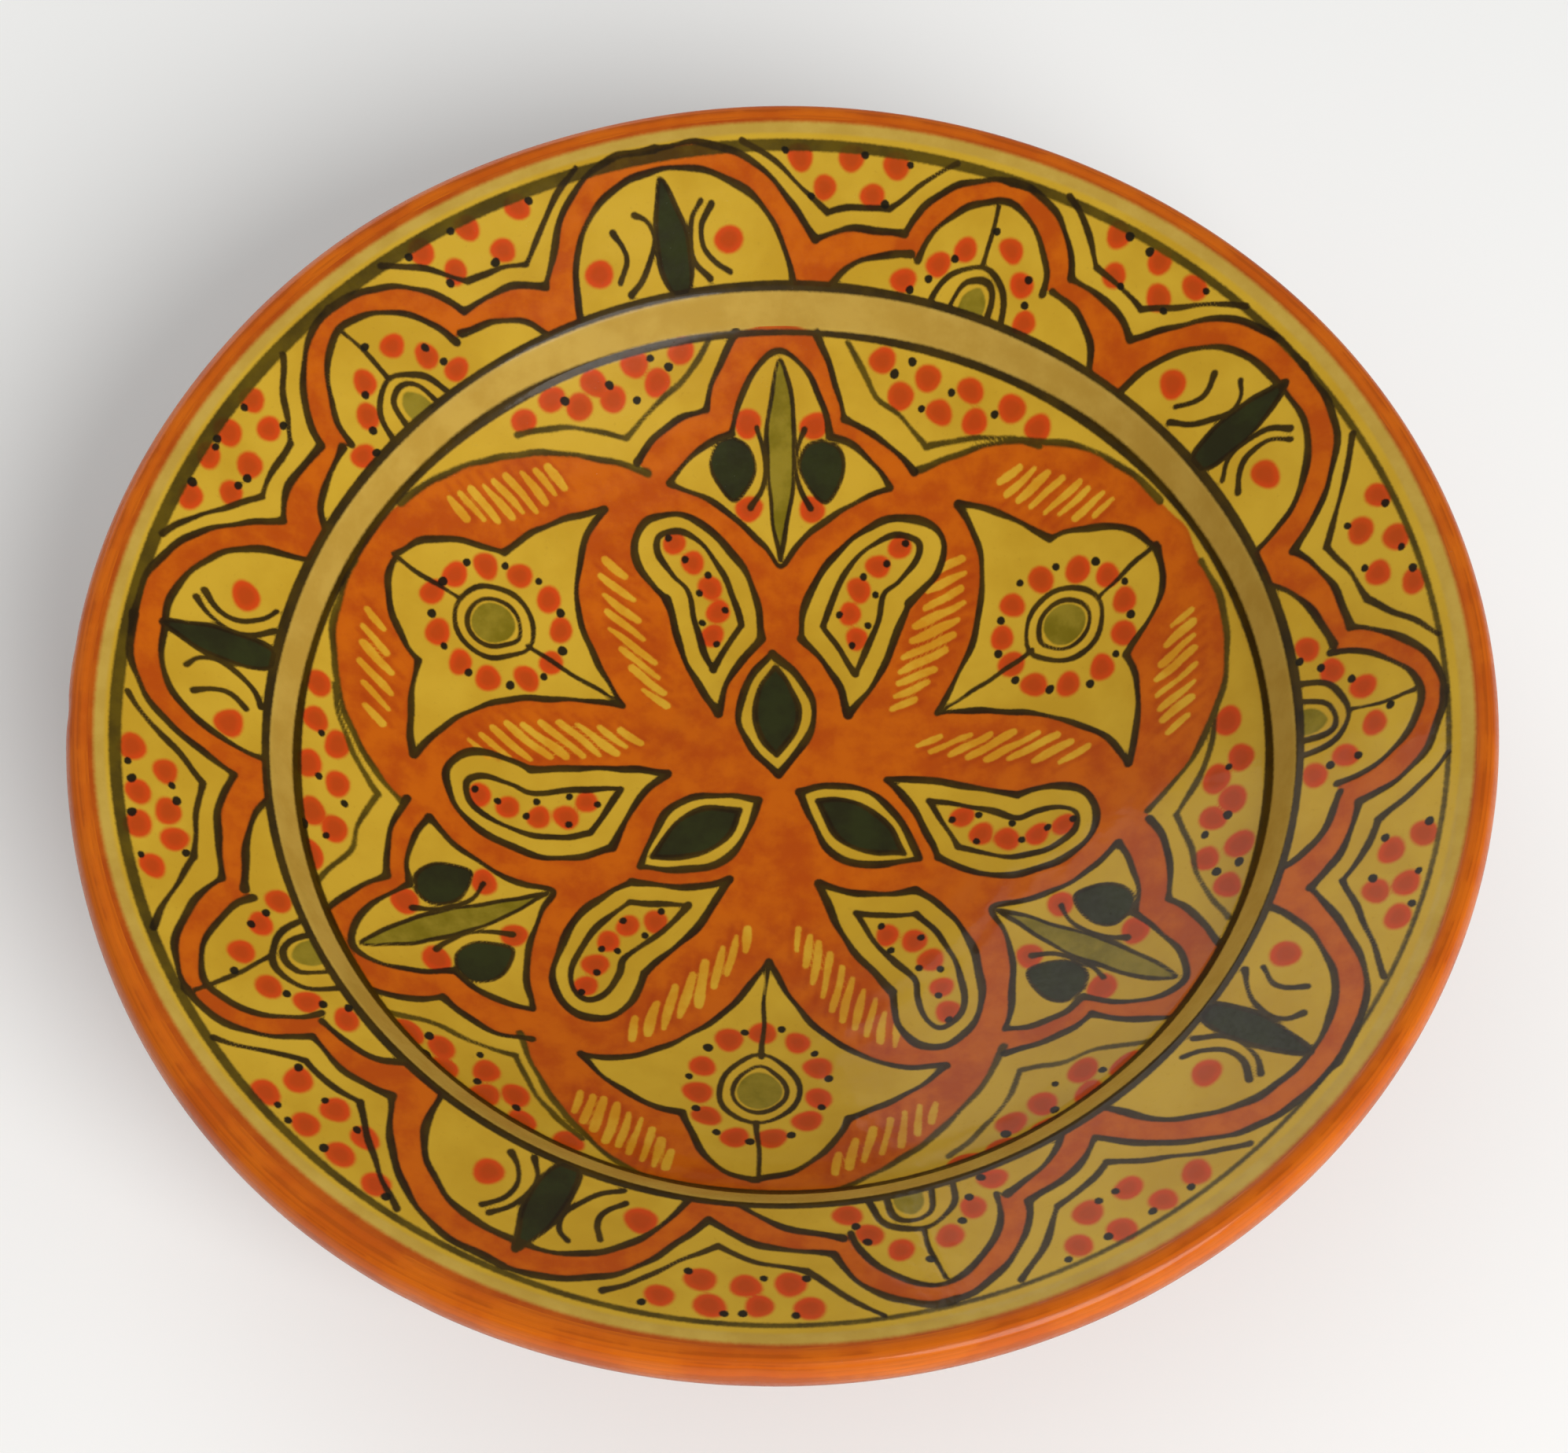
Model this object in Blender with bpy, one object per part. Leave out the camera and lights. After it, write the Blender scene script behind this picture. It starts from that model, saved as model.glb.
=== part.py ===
"""Hand painted ceramic plate: a thrown earthenware dish with a rolled lip, a sloping
flange, a stepped well and a foot ring, under thin coats of glaze.

Every sub-part is turned about the Z axis. The origin is the centre of the plane that the
foot ring rests on, +Z is up, and lengths are in metres.
"""

import math

import bmesh
import bpy

MM = 0.001

# Driving dimensions
OUTER_RADIUS = 150.0 * MM
TOTAL_HEIGHT = 72.0 * MM
LIP_HALF_WIDTH = 3.4 * MM
LIP_HALF_HEIGHT = 6.0 * MM
LIP_INNER_RADIUS = 145.0 * MM
RIM_TO_FLOOR = 56.8 * MM
FLAT_FLOOR_RADIUS = 30.0 * MM
WELL_RADIUS = 105.8 * MM
WELL_RISE = 28.4 * MM
WELL_POWER = 1.8
LEDGE_RADIUS = 110.7 * MM
LEDGE_DROP = 19.9 * MM
FLANGE_RADIUS = 140.2 * MM
FLANGE_DROP = 2.5 * MM
WALL_THICKNESS = 8.4 * MM
FLOOR_THICKNESS = 7.5 * MM
FOOT_OUTER_RADIUS = 62.4 * MM
FOOT_INNER_RADIUS = 55.0 * MM
FOOT_TAPER = 1.2 * MM
FOOT_CHAMFER = 0.5 * MM
GLAZE_THICKNESS = 0.8 * MM
GAP = 0.3 * MM

SEGMENTS = 64
LIP_ANGLES = range(90, -121, -30)
WELL_STEPS = 5
SHARP_ANGLE = math.radians(35.0)
MITRE_LIMIT = 0.5
MERGE_DISTANCE = 0.001 * MM

# Places worked out from the driving dimensions
LIP_CENTRE_R = OUTER_RADIUS - LIP_HALF_WIDTH
LIP_CENTRE_Z = TOTAL_HEIGHT - LIP_HALF_HEIGHT
LIP_START = math.acos((LIP_INNER_RADIUS - LIP_CENTRE_R) / LIP_HALF_WIDTH)
RIM_Z = LIP_CENTRE_Z + LIP_HALF_HEIGHT * math.sin(LIP_START)
FLOOR_Z = RIM_Z - RIM_TO_FLOOR
UNDERSIDE_Z = FLOOR_Z - FLOOR_THICKNESS


def well_height(radius):
    """Height of the glazed well at a radius: flat in the middle, then an upward curve."""
    if radius <= FLAT_FLOOR_RADIUS:
        return FLOOR_Z
    share = (radius - FLAT_FLOOR_RADIUS) / (WELL_RADIUS - FLAT_FLOOR_RADIUS)
    return FLOOR_Z + WELL_RISE * share ** WELL_POWER


def well_line():
    """The glazed face from the axis to the foot of the ledge."""
    points = [(0.0, FLOOR_Z)]
    for step in range(WELL_STEPS + 1):
        radius = FLAT_FLOOR_RADIUS + (WELL_RADIUS - FLAT_FLOOR_RADIUS) * step / WELL_STEPS
        points.append((radius, well_height(radius)))
    return points


def ledge_line():
    """The short steep band between the well and the flange."""
    return [(WELL_RADIUS, well_height(WELL_RADIUS)), (LEDGE_RADIUS, RIM_Z - LEDGE_DROP)]


def flange_line():
    """The sloping flange, which is a little less steep close to the lip."""
    return [
        (LEDGE_RADIUS, RIM_Z - LEDGE_DROP),
        (FLANGE_RADIUS, RIM_Z - FLANGE_DROP),
        (LIP_INNER_RADIUS, RIM_Z),
    ]


def lip_point(angle):
    """A point on the rolled lip, an upright ellipse; angle 0 is the outermost point."""
    return (
        LIP_CENTRE_R + LIP_HALF_WIDTH * math.cos(angle),
        LIP_CENTRE_Z + LIP_HALF_HEIGHT * math.sin(angle),
    )


def lip_line():
    """The rolled lip, from its inner edge over the crown and round to its underside."""
    return [lip_point(LIP_START)] + [lip_point(math.radians(a)) for a in LIP_ANGLES]


def offset(points, depth):
    """Move a line to its right-hand side, which is the clay side of every glazed line."""
    moved = []
    for index, (radius, height) in enumerate(points):
        before = points[max(index - 1, 0)]
        after = points[min(index + 1, len(points) - 1)]
        first = direction(before, (radius, height))
        second = direction((radius, height), after)
        first = first or second
        second = second or first
        along = (first[0] + second[0], first[1] + second[1])
        length = math.hypot(*along)
        along = (along[0] / length, along[1] / length)
        corner = max(along[0] * first[0] + along[1] * first[1], MITRE_LIMIT)
        moved.append((
            radius + along[1] * depth / corner,
            height - along[0] * depth / corner,
        ))
    return moved


def direction(start, end):
    """Unit vector from start to end, or None when they are one point."""
    run, rise = end[0] - start[0], end[1] - start[1]
    length = math.hypot(run, rise)
    if length == 0.0:
        return None
    return (run / length, rise / length)


def back_line():
    """The glazed underside, from the lip inward: the face moved by the wall thickness."""
    foot = (FOOT_OUTER_RADIUS, well_height(FOOT_OUTER_RADIUS))
    bowl = [foot] + [point for point in well_line() if point[0] > FOOT_OUTER_RADIUS]
    under = offset(bowl + ledge_line()[1:] + flange_line()[1:], WALL_THICKNESS)
    bend = under[1:len(bowl) + 1]
    return [lip_line()[-1]] + list(reversed(bend)) + [(FOOT_OUTER_RADIUS + 2 * GAP, foot_joint_height())]


def foot_joint_height():
    """Height of the underside where it meets the outer side of the foot ring."""
    return well_height(FOOT_OUTER_RADIUS) - WALL_THICKNESS


def glazed_line():
    """The whole glazed outline, from the middle of the well over the lip to the foot."""
    return well_line() + ledge_line()[1:] + flange_line()[1:] + lip_line()[1:] + back_line()[1:]


def pull_back(points, index, towards):
    """Move one end of a line along itself by half a gap."""
    way = direction(points[index], points[towards])
    radius, height = points[index]
    points[index] = (radius + way[0] * GAP / 2, height + way[1] * GAP / 2)


def turn(name, outline, closed, material):
    """Spin an outline about Z into one closed solid with its faces pointing out."""
    mesh = bpy.data.meshes.new(name)
    shape = bmesh.new()
    verts = [shape.verts.new((radius, 0.0, height)) for radius, height in outline]
    edges = [shape.edges.new(pair) for pair in zip(verts, verts[1:])]
    if closed:
        edges.append(shape.edges.new((verts[-1], verts[0])))
    bmesh.ops.spin(
        shape,
        geom=verts + edges,
        cent=(0.0, 0.0, 0.0),
        axis=(0.0, 0.0, 1.0),
        angle=math.tau,
        steps=SEGMENTS,
        use_merge=True,
    )
    bmesh.ops.remove_doubles(shape, verts=shape.verts, dist=MERGE_DISTANCE)
    bmesh.ops.recalc_face_normals(shape, faces=shape.faces)
    shape.to_mesh(mesh)
    shape.free()
    mesh.shade_smooth()
    mesh.set_sharp_from_angle(angle=SHARP_ANGLE)
    mesh.materials.append(material)
    part = bpy.data.objects.new(name, mesh)
    bpy.context.collection.objects.link(part)
    return part


def coat(name, line, material):
    """A coat of glaze over one zone: the solid between the glazed outline and its clay side."""
    outline = glazed_line()
    first = outline.index(line[0])
    last = outline.index(line[-1]) + 1
    outer = outline[first:last]
    inner = offset(outline, GLAZE_THICKNESS)[first:last]
    for side in (outer, inner):
        pull_back(side, -1, -2)
        if first:
            pull_back(side, 0, 1)
    turn(name, outer + list(reversed(inner)), first > 0, material)


def make_material(name, colour, roughness, coat_weight):
    """A Principled material with a base colour, a roughness and a clear glossy coat."""
    material = bpy.data.materials.new(name)
    material.use_nodes = True
    shader = material.node_tree.nodes["Principled BSDF"]
    shader.inputs["Base Color"].default_value = (*colour, 1.0)
    shader.inputs["Roughness"].default_value = roughness
    shader.inputs["Metallic"].default_value = 0.0
    shader.inputs["Coat Weight"].default_value = coat_weight
    return material


def make_clay_body():
    """The thrown dish, bare clay: floor, wall, ledge, flange and lip in one piece."""
    clay = offset(glazed_line(), GLAZE_THICKNESS + GAP)
    joint = [
        (FOOT_OUTER_RADIUS, foot_joint_height() + GAP),
        (FOOT_INNER_RADIUS, UNDERSIDE_Z),
        (0.0, UNDERSIDE_Z),
    ]
    turn("clay_body", clay + joint, False, make_material("fired_clay", (0.42, 0.17, 0.08), 0.85, 0.0))


def make_foot_ring():
    """The foot: a tapered ring of clay under the floor, with a flat resting face."""
    outline = [
        (FOOT_INNER_RADIUS, UNDERSIDE_Z - GAP),
        (FOOT_INNER_RADIUS + FOOT_TAPER - FOOT_CHAMFER, FOOT_CHAMFER),
        (FOOT_INNER_RADIUS + FOOT_TAPER, 0.0),
        (FOOT_OUTER_RADIUS - FOOT_TAPER - FOOT_CHAMFER, 0.0),
        (FOOT_OUTER_RADIUS - FOOT_TAPER, FOOT_CHAMFER),
        (FOOT_OUTER_RADIUS, foot_joint_height()),
    ]
    turn("foot_ring", outline, True, make_material("foot_clay", (0.45, 0.20, 0.10), 0.9, 0.0))


def make_glazes():
    """The coats of glaze, each one its own painted zone of the plate."""
    yellow = make_material("yellow_glaze", (0.58, 0.38, 0.07), 0.2, 0.6)
    ochre = make_material("ochre_glaze", (0.44, 0.28, 0.08), 0.2, 0.6)
    orange = make_material("orange_glaze", (0.52, 0.13, 0.02), 0.25, 0.5)
    brown = make_material("brown_glaze", (0.28, 0.09, 0.03), 0.35, 0.3)
    coat("well_glaze", well_line(), yellow)
    coat("ledge_glaze", ledge_line(), ochre)
    coat("flange_glaze", flange_line(), yellow)
    coat("rim_glaze", lip_line(), orange)
    coat("back_glaze", back_line(), brown)


def main():
    """Clear the scene's objects and build the plate."""
    for old in list(bpy.data.objects):
        bpy.data.objects.remove(old)
    make_clay_body()
    make_foot_ring()
    make_glazes()


main()
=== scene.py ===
"""The looks of the hand painted ceramic plate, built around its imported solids.

Every visible surface is a fine turned shell that stands in for one of the solids. The
painting is drawn as brush strokes, dots and filled shapes in the plan of the plate. Each
vertex stores its distance to the edge of every paint, and the glaze materials turn those
distances into colour, so that the strokes keep clean edges.

Painting and profile work in millimetres and degrees; meshes are made in metres.
"""

import math

import bpy
import numpy as np
from mathutils import Matrix, Vector


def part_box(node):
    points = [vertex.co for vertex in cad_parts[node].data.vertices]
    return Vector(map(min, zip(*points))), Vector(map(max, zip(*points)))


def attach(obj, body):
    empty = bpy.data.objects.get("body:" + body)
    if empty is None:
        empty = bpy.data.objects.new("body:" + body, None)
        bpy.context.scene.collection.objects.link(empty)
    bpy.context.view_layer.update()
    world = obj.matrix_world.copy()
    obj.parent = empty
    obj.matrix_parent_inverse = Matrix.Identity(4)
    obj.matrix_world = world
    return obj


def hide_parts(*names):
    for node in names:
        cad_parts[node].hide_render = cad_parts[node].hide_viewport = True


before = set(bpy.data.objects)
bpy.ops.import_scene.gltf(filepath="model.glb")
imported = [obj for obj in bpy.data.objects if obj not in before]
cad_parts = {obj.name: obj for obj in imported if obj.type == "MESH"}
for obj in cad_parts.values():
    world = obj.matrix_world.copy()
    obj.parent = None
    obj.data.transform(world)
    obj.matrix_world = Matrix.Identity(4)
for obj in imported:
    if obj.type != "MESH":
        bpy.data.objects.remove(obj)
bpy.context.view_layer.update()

MM = 0.001
RANDOM = np.random.default_rng(11)

# Distances to a paint are worked out within about MARGIN of it, SPAN segments at a time, and
# are FAR everywhere else
FAR = 9.0
MARGIN = 2.5
SPAN = 10


def reach(node):
    """Largest radius, lowest height and highest height of a solid, in millimetres."""
    low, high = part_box(node)
    return high.x / MM, low.z / MM, high.z / MM


# ------------ sizes

OUTER_R, _, RIM_TOP = reach("rim_glaze")
LIP_HALF_WIDTH = 3.4
LIP_HALF_HEIGHT = 6.0
LIP_R = 145.0
RIM_Z = RIM_TOP - LIP_HALF_HEIGHT * (1 - math.sqrt(1 - ((OUTER_R - LIP_R) / LIP_HALF_WIDTH - 1) ** 2))
FLANGE_R = 140.2
FLANGE_DROP = 2.5
LEDGE_R = 110.7
LEDGE_DROP = 19.9
WELL_R = 105.8
FLOOR_Z = RIM_Z - 56.8
FLAT_R = 30.0
WELL_RISE = 28.4
WELL_POWER = 1.8
WALL = 8.4
FLOOR_THICKNESS = 7.5
FOOT_R, _, FOOT_TOP = reach("foot_ring")
FOOT_WIDTH = 7.4
GLAZE = 0.8
UNDERSIDE_Z = FLOOR_Z - FLOOR_THICKNESS

# The painted zones meet under the dark lines that border the ledge
WELL_EDGE = 106.1
LEDGE_EDGE = 111.6

# Spacing of the profile points, and how much its corners are rounded
STEP = 0.1
SOFTNESS = 0.8

# A ring's bake layout is cut into this many strips
BAKE_STRIPS = 5

# Where the motifs start beside the ledge, the ledge's outer dark line, where the cream ring and
# the orange of the lip start, how far that last circle lies to the right, and how far the
# brushed lines stand up
ROOT_R = 110.5
LEDGE_LINE_R = 111.65
CREAM_R = 142.2
ORANGE_R = 144.6
ORANGE_SHIFT = 0.3
LINE_RELIEF = 0.035


# ------------ profile

def well_height(radius):
    """Height of the glazed well: flat in the middle, then a curve up to the ledge."""
    share = np.clip((np.asarray(radius, float) - FLAT_R) / (WELL_R - FLAT_R), 0.0, None)
    return FLOOR_Z + WELL_RISE * share ** WELL_POWER


def lip_points():
    """The rolled lip, an upright ellipse, from its inner edge round to its underside."""
    centre_r = OUTER_R - LIP_HALF_WIDTH
    centre_z = RIM_TOP - LIP_HALF_HEIGHT
    first = math.acos((LIP_R - centre_r) / LIP_HALF_WIDTH)
    angles = np.linspace(first, math.radians(-118), 60)
    return np.column_stack([
        centre_r + LIP_HALF_WIDTH * np.cos(angles),
        centre_z + LIP_HALF_HEIGHT * np.sin(angles),
    ])


def travel_along(line):
    """Distance covered at each point of a line."""
    return np.concatenate([[0.0], np.cumsum(np.hypot(*np.diff(line, axis=0).T))])


def wrapped(degrees):
    """The same angle between -180 and 180 degrees."""
    return (degrees + 180.0) % 360.0 - 180.0


def spread_indices(first, last, count):
    """Whole numbers spread evenly from first to last."""
    return np.unique(np.linspace(first, last, count).round().astype(int))


def evenly(line, step):
    """The same line with its points at an even spacing."""
    line = np.asarray(line, float)
    travel = travel_along(line)
    places = np.linspace(0.0, travel[-1], max(2, int(round(travel[-1] / step)) + 1))
    return np.column_stack([np.interp(places, travel, line[:, i]) for i in (0, 1)])


def rounded(line, radius):
    """Round the corners of a line by averaging it over a short length."""
    half = int(round(2.5 * radius / STEP))
    weights = np.exp(-0.5 * (np.arange(-half, half + 1) * STEP / radius) ** 2)
    weights /= weights.sum()
    before = 2 * line[0] - line[half:0:-1]
    after = 2 * line[-1] - line[-2:-half - 2:-1]
    padded = np.vstack([before, line, after])
    return np.column_stack([np.convolve(padded[:, i], weights, "valid") for i in (0, 1)])


def left_normals(line):
    """Unit normals on the left-hand side of a line, which is its open side."""
    along = np.gradient(line, axis=0)
    along /= np.hypot(*along.T)[:, None]
    return np.column_stack([-along[:, 1], along[:, 0]])


def glazed_profile():
    """The glazed outline from the middle of the well, over the lip, down to the foot."""
    radii = np.linspace(0.0, WELL_R, 200)
    well = np.column_stack([radii, well_height(radii)])
    face = np.vstack([
        well,
        [(LEDGE_R, RIM_Z - LEDGE_DROP), (FLANGE_R, RIM_Z - FLANGE_DROP), (LIP_R, RIM_Z)],
    ])
    bowl = evenly(np.vstack([well[radii > FOOT_R - 3.0], face[-3:-1]]), STEP)
    under = bowl - WALL * left_normals(bowl)
    under = under[(under[:, 0] > FOOT_R + 0.2)][::-1]
    under = under[under[:, 1] < lip_points()[-1, 1] - 1.0]
    return rounded(evenly(np.vstack([face[:-1], lip_points(), under]), STEP), SOFTNESS)


PROFILE = glazed_profile()
NORMALS = left_normals(PROFILE)
OUTERMOST = int(PROFILE[:, 0].argmax())


def station(radius):
    """Index of the profile point at a radius on the glazed face."""
    return int(np.abs(PROFILE[:OUTERMOST, 0] - radius).argmin())


def steepness(radius):
    """Distance along the glazed face for each millimetre outward in plan."""
    face = PROFILE[:OUTERMOST]
    low, high = np.interp((radius - 1.0, radius + 1.0), face[:, 0], face[:, 1])
    return math.hypot(1.0, (high - low) / 2.0)


LIP_END = OUTERMOST + int(np.abs(PROFILE[OUTERMOST:, 1] - lip_points()[-1, 1]).argmin())


# ------------ turned meshes

def oval(angle):
    """The plate is very slightly longer from front to back than from side to side."""
    return 1.0 - 0.0035 * np.cos(2 * angle)


def bulge(angle, middle, width):
    """A smooth rise of 1 around a bearing in degrees."""
    return np.exp(-(wrapped(np.degrees(angle) - middle) / width) ** 2)


def hand_thrown(angle, radius, height):
    """Outward and upward unevenness of a thrown plate: a wavering lip and throwing rings."""
    lift = np.clip((height - 25.0) / 45.0, 0.0, 1.0)
    lip = np.clip((radius - 143.0) / 4.0, 0.0, 1.0)
    waver = 0.75 + 1.4 * bulge(angle, 230.0, 28.0) + 0.9 * bulge(angle, 130.0, 15.0)
    waver += 0.12 * np.sin(5 * angle)
    out = radius * (oval(angle) - 1.0) + lip * waver
    up = lift * (0.20 * np.sin(2 * angle + 0.7) + 0.12 * np.sin(3 * angle + 2.1))
    ring = 0.03 * np.sin(2 * np.pi * radius / 7.0 + angle) * np.clip((radius - 10.0) / 20.0, 0.0, 1.0)
    return out, up + ring * (height > FLOOR_Z - 0.1) * (radius < LIP_R)


def turned(name, outline, columns, halving=False, closed=True):
    """Turn an outline of (radius, height) points, which runs with its open side on the left.

    With halving, the rings get fewer vertices towards the middle, where the mesh is closed.
    Each vertex keeps its place along the outline.
    """
    rings, faces, starts, counts = [], [], [], []
    total = 0
    widest = outline[:, 0].max()
    for radius, height in outline:
        halves = int(math.log2(widest / max(radius, 0.4))) if halving else 0
        count = max(7, columns >> max(0, halves)) if radius > 0.2 or not halving else 1
        angle = np.arange(count) * 2 * np.pi / count
        out, up = hand_thrown(angle, radius, height)
        if count == 1:
            out, up = np.zeros(1), np.zeros(1)
        rings.append(np.column_stack([
            (radius + out) * np.cos(angle), (radius + out) * np.sin(angle), height + up,
        ]))
        starts.append(total)
        counts.append(count)
        total += count
    pairs = list(zip(range(len(rings) - 1), range(1, len(rings))))
    if closed:
        pairs.append((len(rings) - 1, 0))
    for a, b in pairs:
        faces.extend(strip(starts[a], counts[a], starts[b], counts[b]))
    piece = mesh_object(name, np.vstack(rings), faces)
    put(piece, "travel", np.repeat(travel_along(outline), counts))
    return piece


def strip(low, low_count, high, high_count):
    """Faces between two rings with equal, doubled or single vertex counts."""
    if low_count > high_count:
        return [face[::-1] for face in strip(high, high_count, low, low_count)]
    faces = []
    for i in range(low_count):
        j = (i + 1) % low_count
        if low_count == high_count:
            faces.append((low + i, high + i, high + j, low + j))
        elif low_count == 1:
            faces.extend((low, high + k, high + (k + 1) % high_count) for k in range(high_count))
        else:
            middle = high + 2 * i + 1
            faces.append((low + i, high + 2 * i, middle))
            faces.append((low + i, middle, low + j))
            faces.append((low + j, middle, high + (2 * i + 2) % high_count))
    return faces


def mesh_object(name, verts, faces):
    mesh = bpy.data.meshes.new(name)
    mesh.from_pydata((verts * MM).tolist(), [], faces)
    mesh.shade_smooth()
    mesh.set_sharp_from_angle(angle=math.radians(40))
    piece = bpy.data.objects.new(name, mesh)
    bpy.context.scene.collection.objects.link(piece)
    return piece


def coordinates(piece):
    """Vertex positions of a piece in millimetres."""
    flat = np.empty(len(piece.data.vertices) * 3)
    piece.data.vertices.foreach_get("co", flat)
    return flat.reshape(-1, 3) / MM


def move(piece, points):
    """Give a piece new vertex positions, in millimetres."""
    piece.data.vertices.foreach_set("co", (points * MM).ravel())
    piece.data.update()


def put(piece, name, values):
    """Store one number for each vertex, for the materials."""
    layer = piece.data.attributes.get(name) or piece.data.attributes.new(name, "FLOAT", "POINT")
    layer.data.foreach_set("value", np.asarray(values, np.float32))


def coat(name, first, last, step, columns, halving=False):
    """A closed coat of glaze between two stations of the profile."""
    picks = spread_indices(first, last, 1 + int(round((last - first) * STEP / step)))
    back_picks = picks[spread_indices(0, len(picks) - 1, max(4, len(picks) // 8))]
    outer = PROFILE[picks]
    inner = (PROFILE[back_picks] - GLAZE * NORMALS[back_picks])[::-1]
    if halving:
        outer[0, 0] = 0.0
        inner[-1, 0] = 0.0
    return turned(name, np.vstack([outer, inner]), columns, halving, closed=not halving)


def flat_layout(piece, radius, face_length):
    """Bake layout for the well: the painted face seen from above, the hidden side in a corner."""
    points, loops = coordinates(piece), loop_vertices(piece)
    travel = attribute(piece, "travel")
    spread = points[:, :2] / radius
    shown = spread * 0.485 + 0.5
    hidden = spread * 0.03 + 0.04
    set_layout(piece, np.where((travel <= face_length)[:, None], shown, hidden)[loops])


def strip_layout(piece, face_length):
    """Bake layout for a ring: equal strips side by side, each with its hidden side squeezed."""
    points, loops = coordinates(piece), loop_vertices(piece)
    travel = attribute(piece, "travel")
    angle = np.degrees(np.arctan2(points[:, 1], points[:, 0]))[loops]
    sizes = np.empty(len(piece.data.polygons), int)
    piece.data.polygons.foreach_get("loop_total", sizes)
    owner = np.repeat(np.arange(len(sizes)), sizes)
    first = np.concatenate([[0], np.cumsum(sizes)[:-1]])
    turn = wrapped(angle - angle[first][owner])
    middle = angle[first] + np.bincount(owner, turn) / sizes
    width = 360.0 / BAKE_STRIPS
    strip_of = np.floor((middle % 360.0) / width)
    along = wrapped(angle - strip_of[owner] * width - width / 2) / width + 0.5
    shown = 0.04 + 0.84 * travel / face_length
    hidden = 0.91 + 0.05 * (travel - face_length) / max(travel.max() - face_length, 1.0)
    across = np.where(travel <= face_length, shown, hidden)[loops]
    set_layout(piece, np.column_stack([0.01 + 0.98 * along, (strip_of[owner] + across) / BAKE_STRIPS]))


def attribute(piece, name):
    values = np.empty(len(piece.data.vertices), np.float32)
    piece.data.attributes[name].data.foreach_get("value", values)
    return values


def loop_vertices(piece):
    loops = np.empty(len(piece.data.loops), int)
    piece.data.loops.foreach_get("vertex_index", loops)
    return loops


def set_layout(piece, uv):
    layer = piece.data.uv_layers.new(name="OFBake")
    layer.data.foreach_set("uv", np.asarray(uv, np.float32).ravel())


# ------------ brush work

def curve(points, step=0.7):
    """A smooth curve through a few points."""
    points = np.asarray(points, float)
    if len(points) < 3:
        return evenly(points, step)
    ends = np.vstack([2 * points[0] - points[1], points, 2 * points[-1] - points[-2]])
    pieces = []
    for a, b, c, d in zip(ends, ends[1:], ends[2:], ends[3:]):
        t = np.linspace(0.0, 1.0, 2 + int(np.hypot(*(c - b)) / step))[:-1, None]
        pieces.append(0.5 * (2 * b + (c - a) * t + (2 * a - 5 * b + 4 * c - d) * t ** 2
                             + (3 * b - a - 3 * c + d) * t ** 3))
    return np.vstack(pieces + [points[-1:]])


def joined(*parts):
    """Curves joined end to end, with a corner between each and the next."""
    return np.vstack([curve(part) for part in parts])


def flipped(points, side):
    """The points with their sideways places multiplied by side."""
    return [(side * x, y) for x, y in points]


def mirrored(points):
    return flipped(points, -1)


def inside_box(points, low, high):
    """Indices of the points inside an upright box."""
    x, y = points.T
    return np.flatnonzero((x > low[0]) & (x < high[0]) & (y > low[1]) & (y < high[1]))


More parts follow.
